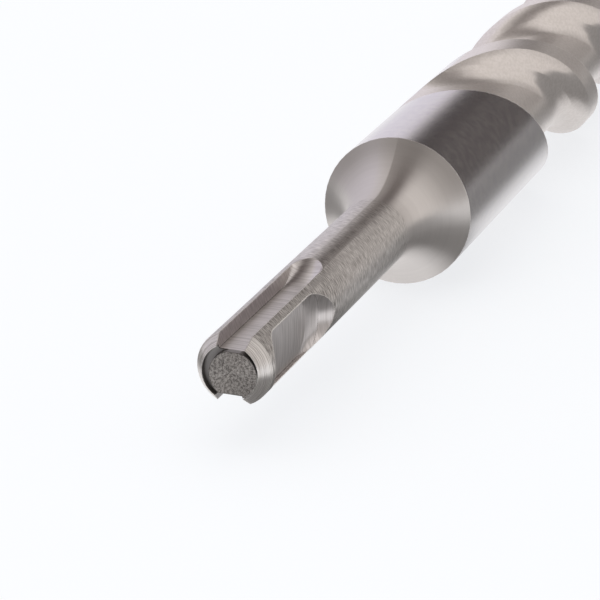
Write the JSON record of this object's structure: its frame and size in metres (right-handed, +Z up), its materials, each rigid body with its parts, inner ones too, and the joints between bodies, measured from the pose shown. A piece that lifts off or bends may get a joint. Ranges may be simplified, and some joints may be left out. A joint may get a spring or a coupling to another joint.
{
  "type": "sds plus drill bit",
  "caption": "Masonry drill bit for a rotary hammer: round shank with drive and locking grooves, flared collar, spiral flutes and a brazed carbide cutting tip.",
  "frame": {"origin": "centre of the shank's flat end face, on the drill's axis", "axes": "+X runs along the drill's axis from the shank's end to the cutting tip, +Z is up, and the drill lies on its collar, its lands and one corner of the tip"},
  "size_m": [0.25, 0.0218, 0.0218],
  "materials": {
    "steel": "ground and blasted",
    "carbide": "ground"
  },
  "bodies": {
    "root": {"drill_body": "steel", "carbide_tip": "carbide"}
  },
  "joints": []
}
